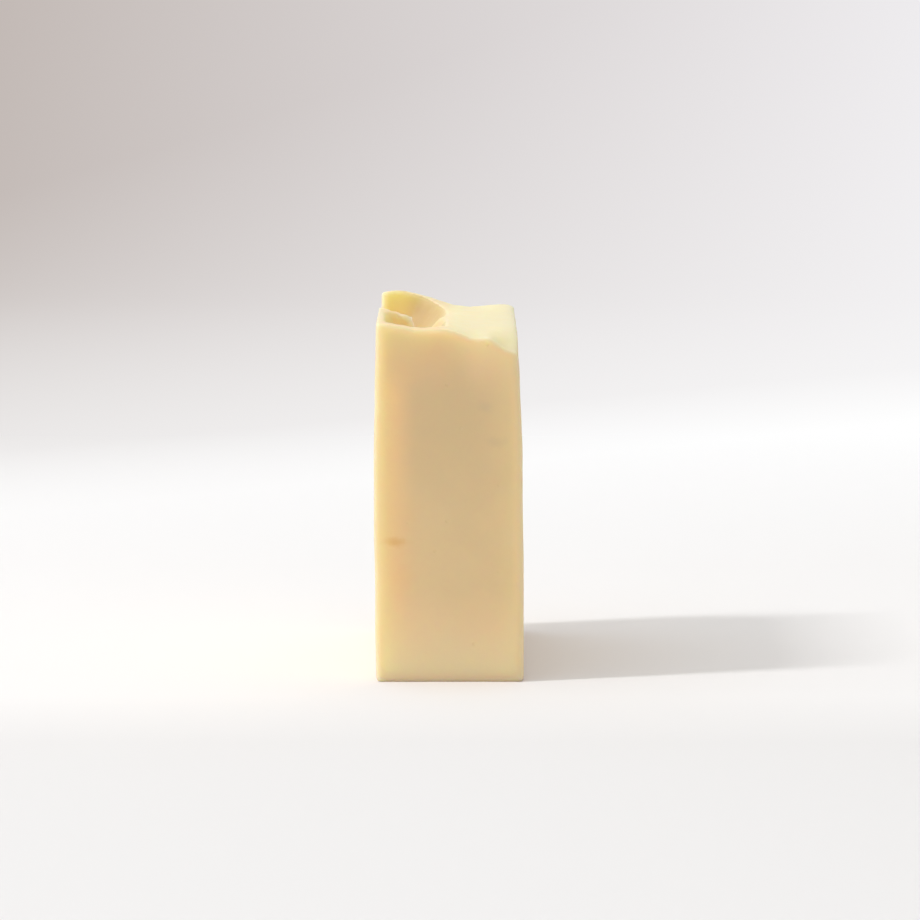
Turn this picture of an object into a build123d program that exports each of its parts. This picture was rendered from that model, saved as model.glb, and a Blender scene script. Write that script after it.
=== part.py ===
"""A hand-cut bar of cold-process soap, standing on its base with its spooned top up.

The bar is one slice of a soap loaf, so it is one solid. Its wide left and right faces are the
cuts, its narrow front and back faces lay against the walls of the loaf mould, and its top was
left open and worked with a spoon while the soap was still soft. The spoon left two deep hollows
that run together, with thin crests standing in front of, between and behind them, and a smooth
shoulder that falls away to the right. X runs across the slice, Y from the front mould face to
the back one, and Z up. The origin is the middle of the base. Lengths are in millimetres.
"""

from build123d import *
import os

# The bar as it was cut
bar_thickness = 30.0  # from cut face to cut face at the base
bar_depth = 60.0  # from mould face to mould face
poured_height = 72.0  # from the base to the level that the soap was poured to

# Edges softened by handling
corner_radius = 0.8  # the four upright corners
base_radius = 0.4  # around the base

# How the wire wandered as it cut: (share of the poured height, left cut, right cut)
wire_wander = 1.2  # how far a whole share moves a cut face to the left
wander_shares = (
    (0.00, -0.21, -0.26),
    (0.23, 0.00, -0.22),
    (0.43, 0.10, -0.15),
    (0.66, 0.08, 0.06),
    (0.80, -0.10, 0.40),
    (0.87, -0.19, 0.48),
    (0.92, -0.27, 0.74),
    (1.10, -0.40, 1.00),
)

# The open top before the hollows were pressed: rows of lifts from front to back
top_relief = 10.0  # how far a whole share lifts the surface above the poured level
top_tolerance = 0.05  # how closely the surface follows its points

# Where the points of a row lie, as shares of the thickness from the left cut face
across_shares = (
    -0.10, 0.00, 0.06, 0.12, 0.20, 0.30, 0.40, 0.47, 0.54, 0.62, 0.70, 0.78, 0.86, 0.94, 1.00, 1.10,
)

# Where the rows lie, as shares of the depth from the front face, and the lift of each point
front_lift_shares = (
    0.17, 0.14, 0.115, 0.09, 0.055, 0.01, 0.015, 0.025, -0.03, -0.12, -0.185, -0.18, -0.36, -0.47,
    -0.60, -0.80,
)
near_lift_shares = (
    0.18, 0.16, 0.14, 0.10, 0.06, 0.01, 0.01, 0.02, -0.02, -0.06, -0.09, -0.09, -0.12, -0.17,
    -0.24, -0.40,
)
middle_lift_shares = (
    0.24, 0.22, 0.17, 0.12, 0.055, -0.02, -0.02, 0.00, -0.02, -0.05, -0.075, -0.08, -0.085, -0.10,
    -0.15, -0.30,
)
far_lift_shares = (
    0.25, 0.24, 0.23, 0.21, 0.16, 0.08, 0.03, 0.00, -0.02, -0.04, -0.05, -0.05, -0.05, -0.07,
    -0.13, -0.30,
)
back_lift_shares = (
    0.22, 0.25, 0.27, 0.295, 0.265, 0.20, 0.10, 0.035, -0.02, -0.05, -0.05, -0.025, -0.005, -0.03,
    -0.16, -0.40,
)
top_shares = (
    (-0.05, front_lift_shares),
    (0.00, front_lift_shares),
    (0.15, near_lift_shares),
    (0.45, middle_lift_shares),
    (0.75, far_lift_shares),
    (1.00, back_lift_shares),
    (1.05, back_lift_shares),
)

# The hollows that the spoon pressed: walls from the rim down to their foot, then a bowl. The walls
# are steep all round except on the right, where they lean out.
rim_rise = 4.0  # from the poured level up to where the outlines of the rims are drawn
wall_height = 9.5  # from there down to the foot of the walls
bowl_depth = 4.0  # from the foot of the walls down to the floor

# The rounding of the bowls: (share of the bowl's depth, share of the foot's outline kept there)
bowl_shares = ((1.00, 0.50), (0.70, 0.80))

# Outlines of the near and the far hollow, as shares of the thickness from the left cut face and
# of the depth from the front face
near_rim_shares = (
    (0.035, 0.09),
    (0.09, 0.035),
    (0.25, 0.022),
    (0.44, 0.025),
    (0.555, 0.06),
    (0.58, 0.16),
    (0.585, 0.27),
    (0.58, 0.38),
    (0.555, 0.47),
    (0.48, 0.512),
    (0.39, 0.502),
    (0.31, 0.488),
    (0.24, 0.480),
    (0.17, 0.472),
    (0.10, 0.460),
    (0.045, 0.41),
    (0.03, 0.32),
    (0.03, 0.20),
)
near_foot_shares = (
    (0.16, 0.13),
    (0.19, 0.08),
    (0.24, 0.062),
    (0.29, 0.07),
    (0.325, 0.115),
    (0.335, 0.20),
    (0.335, 0.29),
    (0.333, 0.37),
    (0.32, 0.43),
    (0.285, 0.455),
    (0.24, 0.452),
    (0.20, 0.435),
    (0.17, 0.39),
    (0.155, 0.32),
    (0.152, 0.22),
)
far_rim_shares = (
    (-0.20, 0.49),
    (-0.05, 0.472),
    (0.10, 0.465),
    (0.24, 0.449),
    (0.41, 0.43),
    (0.55, 0.45),
    (0.585, 0.53),
    (0.59, 0.63),
    (0.58, 0.73),
    (0.545, 0.825),
    (0.485, 0.895),
    (0.40, 0.94),
    (0.27, 0.962),
    (0.10, 0.965),
    (-0.07, 0.958),
    (-0.20, 0.94),
    (-0.24, 0.70),
)
far_foot_shares = (
    (-0.20, 0.53),
    (-0.05, 0.51),
    (0.10, 0.502),
    (0.21, 0.489),
    (0.29, 0.475),
    (0.33, 0.505),
    (0.335, 0.57),
    (0.335, 0.65),
    (0.33, 0.73),
    (0.31, 0.80),
    (0.28, 0.86),
    (0.235, 0.90),
    (0.17, 0.925),
    (0.08, 0.933),
    (-0.07, 0.924),
    (-0.20, 0.90),
    (-0.24, 0.70),
)

left_cut = -bar_thickness / 2
front_face = -bar_depth / 2
rim_height = poured_height + rim_rise
foot_height = rim_height - wall_height


def top_row(depth_share, lift_shares):
    """Points of the open top across the slice, at one place along its depth."""
    return [
        Vector(
            left_cut + bar_thickness * across_share,
            front_face + bar_depth * depth_share,
            poured_height + top_relief * lift_share,
        )
        for across_share, lift_share in zip(across_shares, lift_shares)
    ]


def outline(outline_shares, kept_share=1):
    """Points of a hollow's outline, drawn in towards its middle where less than all is kept."""
    places = [
        Vector(left_cut + bar_thickness * across_share, front_face + bar_depth * depth_share)
        for across_share, depth_share in outline_shares
    ]
    middle = sum(places, Vector()) / len(places)
    return [middle + (place - middle) * kept_share for place in places]


# The rows stand back to front, so that the bar lies behind the surface
top_rows = [top_row(*row) for row in reversed(top_shares)]
open_top = Face.make_surface_from_array_of_points(top_rows, tol=top_tolerance)

with BuildPart() as soap_bar:
    # The slice before its top was worked
    for height_share, left_share, right_share in wander_shares:
        left_shift = wire_wander * left_share
        right_shift = wire_wander * right_share
        with BuildSketch(Plane.XY.offset(poured_height * height_share)):
            with Locations((-(left_shift + right_shift) / 2, 0)):
                RectangleRounded(
                    bar_thickness + left_shift - right_shift, bar_depth, corner_radius
                )
    loft(ruled=True)
    fillet(soap_bar.faces().sort_by(Axis.Z)[0].edges(), base_radius)

    # What lies under the open top is kept
    split(bisect_by=open_top, keep=Keep.BOTTOM)

    # The hollows are pressed into it
    for rim_shares, foot_shares in (
        (near_rim_shares, near_foot_shares),
        (far_rim_shares, far_foot_shares),
    ):
        with BuildPart(mode=Mode.SUBTRACT):
            for depth_share, kept_share in bowl_shares:
                with BuildSketch(Plane.XY.offset(foot_height - bowl_depth * depth_share)):
                    with BuildLine():
                        Spline(*outline(foot_shares, kept_share), periodic=True)
                    make_face()
            for level, outline_shares in ((foot_height, foot_shares), (rim_height, rim_shares)):
                with BuildSketch(Plane.XY.offset(level)):
                    with BuildLine():
                        Spline(*outline(outline_shares), periodic=True)
                    make_face()
            loft(ruled=True)

soap_bar.part.label = "soap_bar"

os.makedirs("parts", exist_ok=True)
export_step(soap_bar.part, "parts/soap_bar.step")
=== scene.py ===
"""A hand-cut bar of cream soap standing on a pale studio floor.

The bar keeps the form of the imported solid. Its skin is made finer, its rims are eased as handling
leaves them, and its faces get the marks of the mould, the cutting wire and the spoon. Lengths are
in metres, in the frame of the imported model: X across the slice, Y to the back and Z up.
"""

import math

import bpy
import numpy as np
from bpy.props import FloatProperty, FloatVectorProperty, IntProperty, PointerProperty
from mathutils import Euler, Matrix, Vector, noise


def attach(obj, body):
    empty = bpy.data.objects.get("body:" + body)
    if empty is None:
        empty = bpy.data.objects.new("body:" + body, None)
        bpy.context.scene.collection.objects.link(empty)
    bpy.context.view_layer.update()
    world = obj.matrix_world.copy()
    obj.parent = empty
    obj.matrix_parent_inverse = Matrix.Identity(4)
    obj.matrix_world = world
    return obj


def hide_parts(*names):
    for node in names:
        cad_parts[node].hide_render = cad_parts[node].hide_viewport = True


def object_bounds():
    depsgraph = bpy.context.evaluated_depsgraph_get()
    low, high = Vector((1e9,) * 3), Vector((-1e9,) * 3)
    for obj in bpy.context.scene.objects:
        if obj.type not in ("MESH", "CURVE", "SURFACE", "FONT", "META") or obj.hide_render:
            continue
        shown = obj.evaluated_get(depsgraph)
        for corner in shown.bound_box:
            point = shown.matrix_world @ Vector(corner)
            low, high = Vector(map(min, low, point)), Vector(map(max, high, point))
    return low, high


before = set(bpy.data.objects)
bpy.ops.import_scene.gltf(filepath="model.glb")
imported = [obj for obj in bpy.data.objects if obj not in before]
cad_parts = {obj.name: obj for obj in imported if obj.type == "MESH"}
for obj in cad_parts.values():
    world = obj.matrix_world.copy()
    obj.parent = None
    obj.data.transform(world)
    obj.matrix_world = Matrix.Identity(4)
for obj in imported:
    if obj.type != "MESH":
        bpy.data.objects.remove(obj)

CAD_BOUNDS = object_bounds()

bl_info = {
    "name": "Hand-cut soap bar",
    "version": (1, 0, 0),
    "blender": (4, 5, 0),
    "location": "3D View > Sidebar > Soap",
    "description": "Builds a hand-cut bar of cream soap with a spooned top, and its studio",
    "category": "Add Mesh",
}


class SoapBarSettings(bpy.types.PropertyGroup):
    """Sizes and colours of the bar."""

    skin_step: FloatProperty(
        name="Skin step",
        description="Distance between neighbouring points of the bar's skin",
        default=0.00045,
        unit="LENGTH",
    )
    easing_rounds: IntProperty(
        name="Easing rounds",
        description="How often the skin is relaxed, which eases the rims and corners",
        default=4,
    )
    sag_depth: FloatProperty(
        name="Unevenness",
        description="How far the moulded and cut faces wander from flat",
        default=0.00012,
        unit="LENGTH",
    )
    drag_depth: FloatProperty(
        name="Wire drag",
        description="Depth of the streaks that the cutting wire left",
        default=0.00005,
        unit="LENGTH",
    )
    spoon_depth: FloatProperty(
        name="Spoon drag",
        description="Depth of the ripples that the spoon left in the open top",
        default=0.00010,
        unit="LENGTH",
    )
    step_depth: FloatProperty(
        name="Cut step",
        description="How far the right cut steps in near its top front corner",
        default=0.00025,
        unit="LENGTH",
    )
    mould_colour: FloatVectorProperty(
        name="Cream",
        description="Colour of the moulded and cut faces",
        default=(0.865, 0.672, 0.385),
        size=3,
        subtype="COLOR",
    )
    # Painted light: the lit open top is paler than the cream
    painted_light_colour: FloatVectorProperty(
        name="Pale skin",
        description="Colour of the open top, which dried in the air",
        default=(1.0, 0.81, 0.50),
        size=3,
        subtype="COLOR",
    )
    # Painted glow: the thin lips are warmer, as light comes through them
    lip_glow_colour: FloatVectorProperty(
        name="Lips",
        description="Colour of the lips round the hollows",
        default=(1.0, 0.63, 0.37),
        size=3,
        subtype="COLOR",
    )
    # Painted glow: paler near the cut faces, near the base and near the top on the right
    painted_glow_colour: FloatVectorProperty(
        name="Pale cuts",
        description="Colour of the cut faces and the base, which dried first",
        default=(1.0, 0.75, 0.46),
        size=3,
        subtype="COLOR",
    )
    # Painted glow: the rims and the crest are warmer, as light comes through thin soap
    rim_glow_colour: FloatVectorProperty(
        name="Warm rims",
        description="Colour of the rims, which hands have polished",
        default=(1.0, 0.64, 0.38),
        size=3,
        subtype="COLOR",
    )
    # Painted shade: the walls of the hollows, golden on the left and darker to the right
    honey_colour: FloatVectorProperty(
        name="Honey",
        description="Colour of the walls of the hollows on the left, where the soap is oily",
        default=(0.82, 0.59, 0.27),
        size=3,
        subtype="COLOR",
    )
    deep_shade_colour: FloatVectorProperty(
        name="Deep honey",
        description="Colour of the walls of the hollows towards the right",
        default=(0.64, 0.47, 0.23),
        size=3,
        subtype="COLOR",
    )
    glow_depth: FloatProperty(
        name="Glow depth",
        description="How far light travels inside the soap",
        default=0.0095,
        unit="LENGTH",
    )


class StudioSettings(bpy.types.PropertyGroup):
    """The floor, the backdrop and the light."""

    floor_colour: FloatVectorProperty(
        name="Floor",
        description="Colour of the floor",
        default=(0.875, 0.87, 0.87),
        size=3,
        subtype="COLOR",
    )
    # Painted shade: the floor nearer than the object is darker
    painted_near_floor_shade: FloatVectorProperty(
        name="Floor, near",
        description="Colour of the floor nearer than the object",
        default=(0.80, 0.795, 0.795),
        size=3,
        subtype="COLOR",
    )
    # Painted shade and light on the backdrop: grey at the upper left, paler at the upper right
    painted_backdrop_shade: FloatVectorProperty(
        name="Backdrop, left",
        description="Colour of the backdrop at the upper left",
        default=(0.545, 0.49, 0.465),
        size=3,
        subtype="COLOR",
    )
    painted_backdrop_light: FloatVectorProperty(
        name="Backdrop, right",
        description="Colour of the backdrop at the upper right",
        default=(0.835, 0.815, 0.835),
        size=3,
        subtype="COLOR",
    )
    window_power: FloatProperty(
        name="Window light",
        description="Power of the light that comes from the upper left",
        default=34.5,
        unit="POWER",
    )
    room_strength: FloatProperty(
        name="Room light",
        description="Strength of the light that comes from all round",
        default=1.17,
    )


# Stains on the front face: place, reach along each axis, strength, colour
STAINS = (
    ((-0.0107, -0.0300, 0.0287), (0.0033, 0.0040, 0.0012), 0.60, (0.80, 0.50, 0.17)),
    ((-0.0090, -0.0300, 0.0215), (0.0030, 0.0040, 0.0060), 0.16, (0.88, 0.56, 0.26)),
    ((-0.0080, -0.0300, 0.0345), (0.0024, 0.0040, 0.0040), 0.12, (0.88, 0.56, 0.26)),
    ((0.0098, -0.0300, 0.0492), (0.0026, 0.0040, 0.0014), 0.22, (0.62, 0.50, 0.34)),
    ((0.0074, -0.0300, 0.0563), (0.0020, 0.0040, 0.0016), 0.18, (0.62, 0.50, 0.34)),
)

# Small nicks in the rims and corners: place, reach along each axis, depth
NICKS = (
    ((-0.0069, -0.0300, 0.0722), (0.0010, 0.0020, 0.0008), 0.0004),
    ((-0.0099, -0.0028, 0.0730), (0.0013, 0.0015, 0.0010), 0.0005),
    ((-0.0118, -0.0020, 0.0733), (0.0009, 0.0015, 0.0007), 0.0003),
    ((0.0135, 0.0300, 0.0712), (0.0012, 0.0020, 0.0010), 0.0004),
    ((-0.0150, 0.0290, 0.0480), (0.0012, 0.0012, 0.0020), 0.0004),
    ((0.0152, -0.0295, 0.0205), (0.0010, 0.0010, 0.0016), 0.0003),
    ((0.0150, 0.0100, 0.0004), (0.0012, 0.0022, 0.0010), 0.0004),
    ((-0.0146, -0.0120, 0.0006), (0.0011, 0.0018, 0.0009), 0.0003),
)

# The unevenness of the faces: sizes of its slow and its quick part, the quick part's share, and
# where in the noise each is read
SLOW_WANDER = 0.014
QUICK_WANDER = 0.006
QUICK_SHARE = 0.5
SLOW_OFFSET = 3.0
QUICK_OFFSET = 9.0

# The wire's streaks on the cut faces: stretch across, and their size along and upwards
CUT_FACING = 0.7
STREAK_ACROSS = 20
STREAK_ALONG = 0.0011
STREAK_UP = 0.03

# The spoon's ripples: above this height, off the front and back faces, their size, and where in
# the noise they are read
OPEN_TOP = 0.066
MOULD_FACING = 0.95
RIPPLE = 0.0022
RIPPLE_OFFSET = 5.0

# How sharply a nick's depth rises towards its middle
NICK_POWER = 1.5

# The step in the right cut: its foot and how sharp that is, its top and how softly it ends
# there, where it ends behind the front face and how softly, and what counts as the right cut
STEP_FOOT = 0.0624
STEP_EDGE = 0.0004
STEP_TOP = 0.0680
STEP_FADE = 0.0050
STEP_END = -0.0225
STEP_RUNOUT = 0.0030
CUT_GAIN = 1.6

# The base, which stays flat, is where the skin faces down by more than this
BASE_FACING = -0.9

# A rim's mask: the bulge at which it is full, the rounds that it is spread over its neighbours,
# and how much it is then raised
RIM_BULGE = 0.2
RIM_SPREAD = 14
RIM_GAIN = 28.0

# Where the soap changes colour. Each band runs from where the change starts to where it is
# whole, in metres upwards, to the back or to the right, or as the upward part of the normal.
# A shade gives shares of red, green and blue.
MOTTLE_SIZE = 0.011
MOTTLE_BAND = (0.38, 0.66)
MOTTLE_SHADE = (0.97, 0.97, 0.97)
# Painted shade: a darker band above the middle of the faces
DEEPER_RISE = (0.030, 0.056)
DEEPER_TOP = (0.060, 0.070)
DEEPER_RIGHT = (0.004, 0.013)
DEEPER_SHADE = (0.93, 0.93, 0.93)
# Painted glow: warmer towards the left cut
WARMER_LEFT = (-0.0060, -0.0115)
WARMER_SHADE = (1.07, 1.0, 0.97)
BROWNER_RISE = (0.057, 0.066)
BROWNER_RIGHT = (-0.003, 0.003)
BROWNER_SHADE = (0.97, 0.93, 0.94)
# Painted glow: paler near the top on the right, and at the cuts and the base
PALER_RISE = (0.056, 0.068)
PALER_RIGHT = (0.001, 0.007)
LEFT_CUT = (-0.0120, -0.0150)
RIGHT_CUT = (0.0125, 0.0155)
BASE_BAND = (0.022, 0.0)

# The open top, its lips and its shoulder, where glow and light are painted
TOP_FACING = (0.45, 0.85)
TOP_RISE = (0.062, 0.067)
LIP_RISE = (0.0685, 0.0705)
BACK_LIP_LEFT = (-0.0085, -0.0045)
BACK_LIP_FRONT = (0.012, 0.020)
SHOULDER_LEFT = (-0.0035, 0.0020)
RIM_FACING = (0.1, 0.6)

# The crest between the hollows, where glow is painted
CREST_FRONT = (-0.0070, -0.0045)
CREST_BACK = (0.0005, 0.0030)
CREST_LEFT = (-0.0140, -0.0110)
CREST_RIGHT = (-0.0060, -0.0030)
CREST_RISE = (0.064, 0.068)

# The painted shade in the hollows: from golden to darker to the shoulder's skin, and its reach
SHADE_TO_DEEP_SHADE = (-0.0110, -0.0060)
DEEP_TO_SKIN = (-0.0025, 0.0025)
FAR_HOLLOW = (-0.0020, 0.0060)
NEAR_HOLLOW = (-0.0070, -0.0120)
WALL_FACING = (0.80, 0.99)
FLOOR_BAND = (0.0690, 0.0665)
HOLLOW_RIGHT = (0.0, 0.003)
HOLLOW_FRONT = (-0.0293, -0.0284)
HOLLOW_BACK = (0.0286, 0.0294)
HOLLOW_LEFT = (-0.0145, -0.0125)
HOLLOW_RISE = (0.056, 0.060)

# How far a stain reaches before and after it is smeared, and the smear's size and share
STAIN_EDGE = (0.5, 1.6)
SMEAR_SIZE = 0.0016
SMEAR_SHARE = 0.9

# The soap as a material: how it bends and mirrors light, how far red, green and blue light
# travel in it as shares of the glow depth, and how its roughness varies
SOAP_IOR = 1.45
SOAP_SHEEN = 0.4
GLOW_SHARES = (0.75, 0.93, 0.55)
SATIN_SIZE = 0.004
SATIN_BAND = (0.3, 0.7)
SATIN = (0.42, 0.56)

# Its grain and pits: how many cells a metre holds in which a pit may lie, the edge of a pit,
# the chance of one, its depth, the size, detail and share of the grain, and how strong both are
PITS_PER_METRE = 380.0
PIT_EDGE = (0.05, 0.20)
PIT_CHANCE = (0.86, 0.90)
PIT_DEPTH = 0.0002
GRAIN_SIZE = 0.0010
GRAIN_DETAIL = 3
GRAIN_SHARE = 0.35
BUMP_STRENGTH = 0.4

# The sheet of paper: its front edge, where it starts to curve up, how widely and in how many
# steps, the height of its top edge and half its width
SWEEP_FRONT = -1.6
SWEEP_START = 0.85
SWEEP_RADIUS = 0.5
SWEEP_STEPS = 24
SWEEP_TOP = 1.6
SWEEP_HALF = 1.8

# The paper's tones, painted light and shade: how it pales from left to right, how its whitening
# slopes, over which heights it whitens slowly and then quickly, and how much of that is slow, where
# the floor turns into the backdrop, and where the floor is painted a shade darker near the camera
GREY_TO_PALE = (-0.24, 0.24)
SLOPE_REACH = 0.5
SLOPE_RISE = 0.4
SLOW_WHITENING = (1.26, 0.45)
QUICK_WHITENING = (0.45, 0.30)
SLOW_WHITE = 0.6
FLOOR_TO_BACKDROP = (0.12, 0.38)
NEAR_FLOOR = (-0.09, -0.045)
PAPER_ROUGHNESS = 0.9

# The window: width and height of its light, the side that it comes from, and its distance
WINDOW_SIZE = (0.21, 0.70)
WINDOW_SIDE = (-0.678, -0.18, 0.712)
WINDOW_DISTANCE = 3.0

# The room: its bright side, how far from it the light is dimmest, how dim that is, and its tint
BRIGHT_SIDE = (-0.35, 0.35, 0.87)
DIM_FROM = -0.2
DIM_SHARE = 0.22
ROOM_COLOUR = (1.0, 0.99, 0.98, 1.0)

# The camera: its sensor and focal length in millimetres, its place and its tilt in degrees
SENSOR_WIDTH = 36
FOCAL_LENGTH = 144.70
CAMERA_PLACE = (0.00233, -0.770, 0.14175)
CAMERA_TILT = 7.4082


def random_unit(point, scale, offset):
    """Smooth noise between -1 and 1 at a point, for features of the given size."""
    return noise.noise(Vector(point) / scale + Vector((offset, offset, offset)))


def skin_of(node, name, step, rounds):
    """A fine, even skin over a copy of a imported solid, relaxed a few times."""
    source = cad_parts[node]
    rough = bpy.data.objects.new(name + "_rough", source.data.copy())
    bpy.context.collection.objects.link(rough)
    remesh = rough.modifiers.new("even_skin", "REMESH")
    remesh.mode = "VOXEL"
    remesh.voxel_size = step
    ease = rough.modifiers.new("ease", "SMOOTH")
    ease.factor = 0.5
    ease.iterations = rounds
    graph = bpy.context.evaluated_depsgraph_get()
    mesh = bpy.data.meshes.new_from_object(rough.evaluated_get(graph))
    mesh.name = name
    bpy.data.objects.remove(rough)
    skin = bpy.data.objects.new(name, mesh)
    bpy.context.collection.objects.link(skin)
    return skin


class SOAP_OT_build_bar(bpy.types.Operator):
    """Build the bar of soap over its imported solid"""

    bl_idname = "soap.build_bar"
    bl_label = "Bar of soap"

    def execute(self, context):
        values = context.scene.soap_bar
        bar = skin_of("soap_bar", "soap_body", values.skin_step, values.easing_rounds)
        self.wear(bar.data, values)
        bar.data.materials.clear()
        bar.data.materials.append(soap_material(values))
        bar.data.polygons.foreach_set("use_smooth", [True] * len(bar.data.polygons))
        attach(bar, "root")
        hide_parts("soap_bar")
        return {"FINISHED"}

    def wear(self, mesh, values):
        """Moves the skin's points in and out by what the mould, the wire and hands left."""
        count = len(mesh.vertices)
        places = np.empty(count * 3)
        mesh.vertices.foreach_get("co", places)
        places = places.reshape(count, 3)
        normals = np.empty(count * 3)
        mesh.vertex_normals.foreach_get("vector", normals)
        normals = normals.reshape(count, 3)
        shift = np.empty(count)
        for index, (place, normal) in enumerate(zip(places.tolist(), normals.tolist())):
            wander = random_unit(place, SLOW_WANDER, SLOW_OFFSET)
            wander += QUICK_SHARE * random_unit(place, QUICK_WANDER, QUICK_OFFSET)
            shift[index] = values.sag_depth * wander
            if abs(normal[0]) > CUT_FACING:
                streak = Vector(
                    (place[0] * STREAK_ACROSS, place[1] / STREAK_ALONG, place[2] / STREAK_UP)
                )
                shift[index] += values.drag_depth * noise.noise(streak)
            elif place[2] > OPEN_TOP and abs(normal[1]) < MOULD_FACING:
                shift[index] += values.spoon_depth * random_unit(place, RIPPLE, RIPPLE_OFFSET)
        for centre, reach, depth in NICKS:
            away = np.linalg.norm((places - np.array(centre)) / np.array(reach), axis=1)
            shift -= depth * np.clip(1.0 - away, 0.0, 1.0) ** NICK_POWER
        # Near its top the right cut steps in, next to the front face
        above = np.clip((places[:, 2] - STEP_FOOT) / STEP_EDGE, 0.0, 1.0)
        below = np.clip((STEP_TOP - places[:, 2]) / STEP_FADE, 0.0, 1.0)
        near = np.clip((STEP_END - places[:, 1]) / STEP_RUNOUT, 0.0, 1.0)
        right = np.clip(normals[:, 0] * CUT_GAIN, 0.0, 1.0)
        shift -= values.step_depth * above * below * near * right
        low, high = CAD_BOUNDS
        places = places + normals * shift[:, None]
        places[normals[:, 2] < BASE_FACING, 2] = low[2]
        places = np.clip(places, low, high)
        mesh.vertices.foreach_set("co", places.ravel())
        mesh.update()
        rims = mesh.attributes.new("rims", "FLOAT", "POINT")
        rims.data.foreach_set("value", self.rims_of(mesh, places, normals, values))

    def rims_of(self, mesh, places, normals, values):
        """How much each point belongs to a rim or corner, from 0 to 1, with soft borders."""
        ends = np.empty(len(mesh.edges) * 2, dtype=int)
        mesh.edges.foreach_get("vertices", ends)
        first, second = ends.reshape(-1, 2).T
        count = len(places)
        neighbours = np.bincount(first, minlength=count) + np.bincount(second, minlength=count)

        def mean(field):
            """The mean of a field over each point's neighbours."""
            total = np.bincount(first, field[second], count)
            total += np.bincount(second, field[first], count)
            return total / np.maximum(neighbours, 1)

        around = np.stack([mean(places[:, axis]) for axis in range(3)], axis=1)
        bulge = np.einsum("ij,ij->i", places - around, normals) / values.skin_step
        rim = np.clip(bulge, 0.0, RIM_BULGE)
        for _ in range(RIM_SPREAD):
            rim = 0.5 * rim + 0.5 * mean(rim)
        return np.clip(rim * RIM_GAIN, 0.0, 1.0)


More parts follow.
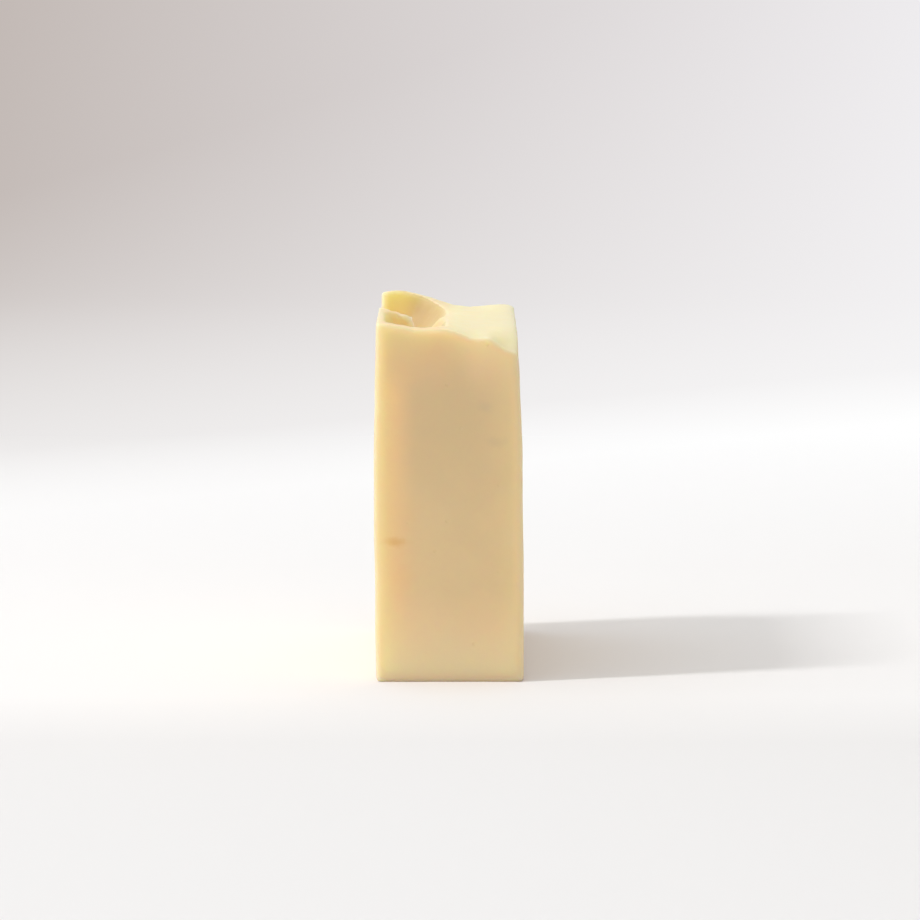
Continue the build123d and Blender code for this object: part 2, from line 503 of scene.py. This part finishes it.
def soap_material(values):
    """Waxy cream soap with light stains, painted glow and light, and painted shade in the hollows.
    """
    material = bpy.data.materials.new("cream_soap")
    material.use_nodes = True
    nodes = material.node_tree.nodes
    links = material.node_tree.links
    shader = nodes["Principled BSDF"]
    place = nodes.new("ShaderNodeTexCoord")
    shape = nodes.new("ShaderNodeNewGeometry")
    place_parts = nodes.new("ShaderNodeSeparateXYZ")
    links.new(place.outputs["Object"], place_parts.inputs[0])
    normal_parts = nodes.new("ShaderNodeSeparateXYZ")
    links.new(shape.outputs["Normal"], normal_parts.inputs[0])

    def ramp(value, low, high, low_out=0.0, high_out=1.0):
        """A smooth step from low to high."""
        node = nodes.new("ShaderNodeMapRange")
        node.interpolation_type = "SMOOTHSTEP"
        node.inputs["From Min"].default_value = low
        node.inputs["From Max"].default_value = high
        node.inputs["To Min"].default_value = low_out
        node.inputs["To Max"].default_value = high_out
        links.new(value, node.inputs["Value"])
        return node.outputs["Result"]

    def combine(operation, first, second):
        """Two numbers put together by a Math node."""
        node = nodes.new("ShaderNodeMath")
        node.operation = operation
        for socket, value in zip(node.inputs, (first, second)):
            if isinstance(value, bpy.types.NodeSocket):
                links.new(value, socket)
            else:
                socket.default_value = value
        return node.outputs[0]

    def blend(mask, first, second):
        """One colour over another by a mask."""
        node = nodes.new("ShaderNodeMix")
        node.data_type = "RGBA"
        links.new(mask, node.inputs["Factor"])
        for socket, value in ((node.inputs["A"], first), (node.inputs["B"], second)):
            if isinstance(value, bpy.types.NodeSocket):
                links.new(value, socket)
            else:
                socket.default_value = (*value, 1.0)
        return node.outputs["Result"]

    def grain(size):
        """Smooth noise with features of the given size."""
        node = nodes.new("ShaderNodeTexNoise")
        node.inputs["Scale"].default_value = 1 / size
        node.inputs["Detail"].default_value = GRAIN_DETAIL
        links.new(place.outputs["Object"], node.inputs["Vector"])
        return node.outputs["Fac"]

    def spot(centre, size, smear):
        """A soft mask about a point of the bar, with a smeared edge."""
        node = nodes.new("ShaderNodeMapping")
        node.vector_type = "TEXTURE"
        node.inputs["Location"].default_value = centre
        node.inputs["Scale"].default_value = size
        links.new(place.outputs["Object"], node.inputs["Vector"])
        length = nodes.new("ShaderNodeVectorMath")
        length.operation = "LENGTH"
        links.new(node.outputs["Vector"], length.inputs[0])
        rough_edge = combine("MULTIPLY", smear, SMEAR_SHARE)
        rough_edge = combine("ADD", length.outputs["Value"], rough_edge)
        return ramp(rough_edge, *STAIN_EDGE, 1.0, 0.0)

    up = normal_parts.outputs["Z"]
    height = place_parts.outputs["Z"]
    along = place_parts.outputs["Y"]
    across = place_parts.outputs["X"]

    def both(first, second):
        """The part that two masks share."""
        return combine("MULTIPLY", first, second)

    def shaded(colour, shares):
        """A colour with its red, green and blue taken at some shares."""
        return [part * share for part, share in zip(colour, shares)]

    # Cream, softly mottled, with painted shade above the middle of the faces
    cream = values.mould_colour
    colour = blend(ramp(grain(MOTTLE_SIZE), *MOTTLE_BAND), cream, shaded(cream, MOTTLE_SHADE))
    painted_shade_band = both(ramp(height, *DEEPER_RISE), ramp(height, *DEEPER_TOP, 1.0, 0.0))
    painted_shade_band = both(painted_shade_band, ramp(across, *DEEPER_RIGHT, 1.0, 0.3))
    colour = blend(painted_shade_band, colour, shaded(cream, DEEPER_SHADE))

    # Painted glow: towards the left cut it is warmer, as light comes through the soap from the
    # left.
    # Near the top it is browner on the left, and paler on the right, a painted glow
    colour = blend(ramp(across, *WARMER_LEFT), colour, shaded(cream, WARMER_SHADE))
    browner = both(ramp(height, *BROWNER_RISE), ramp(across, *BROWNER_RIGHT, 1.0, 0.0))
    colour = blend(browner, colour, shaded(cream, BROWNER_SHADE))
    paler = both(ramp(height, *PALER_RISE), ramp(across, *PALER_RIGHT, 0.0, 0.6))
    colour = blend(paler, colour, values.painted_glow_colour)

    # Painted glow: the soap is paler near the cut faces and near the base
    cuts = combine("MAXIMUM", ramp(across, *LEFT_CUT), ramp(across, *RIGHT_CUT))
    colour = blend(both(cuts, 0.7), colour, values.painted_glow_colour)
    colour = blend(ramp(height, *BASE_BAND), colour, values.painted_glow_colour)

    # Painted glow: the lips of the open top are warmer. Painted light: its lit shoulder is paler,
    # and so, though less, is its back lip
    exposed = both(ramp(up, *TOP_FACING), ramp(height, *TOP_RISE))
    colour = blend(both(exposed, ramp(height, *LIP_RISE)), colour, values.lip_glow_colour)
    back_lip = both(ramp(across, *BACK_LIP_LEFT), ramp(along, *BACK_LIP_FRONT, 0.0, 0.6))
    shoulder = combine("MAXIMUM", ramp(across, *SHOULDER_LEFT), back_lip)
    colour = blend(both(exposed, shoulder), colour, values.painted_light_colour)

    # Painted glow: the rims are warmer, and so is the thin crest between the hollows
    rims = nodes.new("ShaderNodeAttribute")
    rims.attribute_name = "rims"
    painted_rim_glow = both(rims.outputs["Fac"], ramp(up, *RIM_FACING, 0.8, 0.15))
    colour = blend(painted_rim_glow, colour, values.rim_glow_colour)
    crest = both(ramp(along, *CREST_FRONT), ramp(along, *CREST_BACK, 1.0, 0.0))
    crest = both(crest, ramp(across, *CREST_LEFT, 0.0, 0.7))
    crest = both(crest, ramp(across, *CREST_RIGHT, 1.0, 0.0))
    crest = both(crest, ramp(height, *CREST_RISE))
    colour = blend(crest, colour, values.rim_glow_colour)

    # Painted shade in the hollows, down to their floors, and less of it on the crest
    honey = blend(ramp(across, *SHADE_TO_DEEP_SHADE), values.honey_colour, values.deep_shade_colour)
    honey = blend(ramp(across, *DEEP_TO_SKIN), honey, values.painted_light_colour)
    far = ramp(along, *FAR_HOLLOW, 0.2, 1.0)
    hollow = combine("MAXIMUM", far, ramp(along, *NEAR_HOLLOW))
    inside = combine("MAXIMUM", ramp(up, *WALL_FACING, 1.0, 0.0), ramp(height, *FLOOR_BAND))
    for part in (
        inside,
        ramp(across, *HOLLOW_RIGHT, 1.0, 0.0),
        ramp(along, *HOLLOW_FRONT),
        ramp(along, *HOLLOW_BACK, 1.0, 0.0),
        ramp(across, *HOLLOW_LEFT),
        ramp(height, *HOLLOW_RISE),
    ):
        hollow = both(hollow, part)
    colour = blend(hollow, colour, honey)

    # Small soft stains on the front mould face
    smear = grain(SMEAR_SIZE)
    for centre, size, strength, tint in STAINS:
        colour = blend(both(spot(centre, size, smear), strength), colour, tint)

    links.new(colour, shader.inputs["Base Color"])
    links.new(ramp(grain(SATIN_SIZE), *SATIN_BAND, *SATIN), shader.inputs["Roughness"])
    shader.inputs["IOR"].default_value = SOAP_IOR
    shader.inputs["Specular IOR Level"].default_value = SOAP_SHEEN
    shader.inputs["Subsurface Weight"].default_value = 1.0
    shader.inputs["Subsurface Radius"].default_value = GLOW_SHARES
    shader.inputs["Subsurface Scale"].default_value = values.glow_depth

    # Fine grain, and here and there a tiny pit that an air bubble left
    pits = nodes.new("ShaderNodeTexVoronoi")
    pits.inputs["Scale"].default_value = PITS_PER_METRE
    links.new(place.outputs["Object"], pits.inputs["Vector"])
    chance = nodes.new("ShaderNodeSeparateColor")
    links.new(pits.outputs["Color"], chance.inputs["Color"])
    pit = both(
        ramp(pits.outputs["Distance"], *PIT_EDGE, 1.0, 0.0),
        ramp(chance.outputs["Red"], *PIT_CHANCE),
    )
    relief = combine("SUBTRACT", both(grain(GRAIN_SIZE), GRAIN_SHARE), pit)
    bump = nodes.new("ShaderNodeBump")
    bump.inputs["Strength"].default_value = BUMP_STRENGTH
    bump.inputs["Distance"].default_value = PIT_DEPTH
    links.new(relief, bump.inputs["Height"])
    links.new(bump.outputs["Normal"], shader.inputs["Normal"])
    return material


class SOAP_OT_build_studio(bpy.types.Operator):
    """Build the pale floor, the backdrop, the light and the camera"""

    bl_idname = "soap.build_studio"
    bl_label = "Studio"

    def execute(self, context):
        values = context.scene.soap_studio
        self.sweep(context, values)
        self.light(context, values)
        self.camera(context)
        context.scene.view_settings.view_transform = "Standard"
        return {"FINISHED"}

    def sweep(self, context, values):
        """A floor that curves up into a backdrop, as one sheet."""
        line = [(SWEEP_FRONT, 0.0), (SWEEP_START, 0.0)]
        for step in range(1, SWEEP_STEPS + 1):
            angle = math.pi / 2 * step / SWEEP_STEPS
            out, rise = math.sin(angle), 1 - math.cos(angle)
            line.append((SWEEP_START + SWEEP_RADIUS * out, SWEEP_RADIUS * rise))
        line.append((SWEEP_START + SWEEP_RADIUS, SWEEP_TOP))
        points = [(side * SWEEP_HALF, y, z) for y, z in line for side in (-1, 1)]
        faces = [(2 * i, 2 * i + 1, 2 * i + 3, 2 * i + 2) for i in range(len(line) - 1)]
        mesh = bpy.data.meshes.new("studio_sweep")
        mesh.from_pydata(points, [], faces)
        mesh.polygons.foreach_set("use_smooth", [True] * len(faces))
        sweep = bpy.data.objects.new("studio_sweep", mesh)
        context.collection.objects.link(sweep)
        mesh.materials.append(self.sweep_material(values))

    def sweep_material(self, values):
        """Matte paper, lit on the floor. Further back it shows painted light and shade."""
        material = bpy.data.materials.new("studio_paper")
        material.use_nodes = True
        nodes = material.node_tree.nodes
        links = material.node_tree.links
        shader = nodes["Principled BSDF"]
        place = nodes.new("ShaderNodeTexCoord")
        parts = nodes.new("ShaderNodeSeparateXYZ")
        links.new(place.outputs["Object"], parts.inputs[0])

        def ramp(value, low, high, low_out=0.0, high_out=1.0):
            """A straight step from low to high."""
            node = nodes.new("ShaderNodeMapRange")
            node.inputs["From Min"].default_value = low
            node.inputs["From Max"].default_value = high
            node.inputs["To Min"].default_value = low_out
            node.inputs["To Max"].default_value = high_out
            links.new(value, node.inputs["Value"])
            return node.outputs["Result"]

        def combine(operation, first, second):
            """Two numbers put together by a Math node."""
            node = nodes.new("ShaderNodeMath")
            node.operation = operation
            links.new(first, node.inputs[0])
            links.new(second, node.inputs[1])
            return node.outputs[0]

        def blend(mask):
            """A Mix node for two colours."""
            node = nodes.new("ShaderNodeMix")
            node.data_type = "RGBA"
            links.new(mask, node.inputs["Factor"])
            return node

        # Painted shade and light: grey at the upper left, paler to the right and down to the floor
        sideways = blend(ramp(parts.outputs["X"], *GREY_TO_PALE))
        sideways.inputs["A"].default_value = (*values.painted_backdrop_shade, 1.0)
        sideways.inputs["B"].default_value = (*values.painted_backdrop_light, 1.0)
        rise = combine("ADD", parts.outputs["Y"], parts.outputs["Z"])
        slope = ramp(parts.outputs["X"], -SLOPE_REACH, SLOPE_REACH, -SLOPE_RISE, SLOPE_RISE)
        rise = combine("SUBTRACT", rise, slope)
        slow = ramp(rise, *SLOW_WHITENING, 0.0, SLOW_WHITE)
        quick = ramp(rise, *QUICK_WHITENING, 0.0, 1.0 - SLOW_WHITE)
        whiter = combine("ADD", slow, quick)
        downwards = blend(whiter)
        links.new(sideways.outputs["Result"], downwards.inputs["A"])
        downwards.inputs["B"].default_value = (1.0, 1.0, 1.0, 1.0)

        # The gradient is for what the camera and mirrors see, and lights nothing
        rays = nodes.new("ShaderNodeLightPath")
        seen = combine("MAXIMUM", rays.outputs["Is Camera Ray"], rays.outputs["Is Glossy Ray"])
        seen = combine("MAXIMUM", seen, rays.outputs["Is Transmission Ray"])
        shown = combine("MULTIPLY", seen, ramp(parts.outputs["Y"], *FLOOR_TO_BACKDROP))
        # Painted shade: the floor is darker near the camera
        paper = blend(ramp(parts.outputs["Y"], *NEAR_FLOOR))
        paper.inputs["A"].default_value = (*values.painted_near_floor_shade, 1.0)
        paper.inputs["B"].default_value = (*values.floor_colour, 1.0)
        base = blend(shown)
        links.new(paper.outputs["Result"], base.inputs["A"])
        base.inputs["B"].default_value = (0.0, 0.0, 0.0, 1.0)
        links.new(base.outputs["Result"], shader.inputs["Base Color"])
        glow = blend(shown)
        glow.inputs["A"].default_value = (0.0, 0.0, 0.0, 1.0)
        links.new(downwards.outputs["Result"], glow.inputs["B"])
        links.new(glow.outputs["Result"], shader.inputs["Emission Color"])
        shader.inputs["Emission Strength"].default_value = 1.0
        shader.inputs["Roughness"].default_value = PAPER_ROUGHNESS
        shader.inputs["Specular IOR Level"].default_value = 0.0
        return material

    def light(self, context, values):
        """A window to the upper left, and a room that is bright above and dim in front."""
        lamp = bpy.data.lights.new("window", "AREA")
        lamp.energy = values.window_power
        lamp.shape = "RECTANGLE"
        lamp.size, lamp.size_y = WINDOW_SIZE
        window = bpy.data.objects.new("window", lamp)
        context.collection.objects.link(window)
        toward = Vector(WINDOW_SIDE)
        window.location = toward * WINDOW_DISTANCE
        window.rotation_euler = toward.to_track_quat("Z", "Y").to_euler()
        world = bpy.data.worlds.new("room")
        context.scene.world = world
        world.use_nodes = True
        nodes = world.node_tree.nodes
        links = world.node_tree.links
        place = nodes.new("ShaderNodeTexCoord")
        side = nodes.new("ShaderNodeVectorMath")
        side.operation = "DOT_PRODUCT"
        side.inputs[1].default_value = Vector(BRIGHT_SIDE).normalized()
        links.new(place.outputs["Generated"], side.inputs[0])
        level = nodes.new("ShaderNodeMapRange")
        level.interpolation_type = "SMOOTHSTEP"
        level.inputs["From Min"].default_value = DIM_FROM
        level.inputs["From Max"].default_value = 1.0
        level.inputs["To Min"].default_value = DIM_SHARE * values.room_strength
        level.inputs["To Max"].default_value = values.room_strength
        links.new(side.outputs["Value"], level.inputs["Value"])
        links.new(level.outputs["Result"], nodes["Background"].inputs["Strength"])
        nodes["Background"].inputs["Color"].default_value = ROOM_COLOUR

    def camera(self, context):
        """The camera of the picture."""
        lens = bpy.data.cameras.new("picture_camera")
        lens.sensor_fit = "HORIZONTAL"
        lens.sensor_width = SENSOR_WIDTH
        lens.lens = FOCAL_LENGTH
        camera = bpy.data.objects.new("picture_camera", lens)
        context.collection.objects.link(camera)
        camera.location = CAMERA_PLACE
        camera.rotation_euler = Euler((math.pi / 2 - math.radians(CAMERA_TILT), 0, 0))
        context.scene.camera = camera


class VIEW3D_PT_soap(bpy.types.Panel):
    """Sizes and colours of the bar and its studio"""

    bl_idname = "VIEW3D_PT_soap"
    bl_label = "Soap"
    bl_space_type = "VIEW_3D"
    bl_region_type = "UI"
    bl_category = "Soap"

    def draw(self, context):
        layout = self.layout
        for group, operator in (
            (context.scene.soap_bar, SOAP_OT_build_bar),
            (context.scene.soap_studio, SOAP_OT_build_studio),
        ):
            box = layout.box()
            for name in group.__annotations__:
                box.prop(group, name)
            box.operator(operator.bl_idname)


CLASSES = (
    SoapBarSettings,
    StudioSettings,
    SOAP_OT_build_bar,
    SOAP_OT_build_studio,
    VIEW3D_PT_soap,
)


def register():
    for item in CLASSES:
        bpy.utils.register_class(item)
    bpy.types.Scene.soap_bar = PointerProperty(type=SoapBarSettings)
    bpy.types.Scene.soap_studio = PointerProperty(type=StudioSettings)


def unregister():
    del bpy.types.Scene.soap_studio
    del bpy.types.Scene.soap_bar
    for item in reversed(CLASSES):
        bpy.utils.unregister_class(item)


def main():
    register()
    bpy.ops.soap.build_bar()
    bpy.ops.soap.build_studio()


if __name__ == "__main__":
    main()
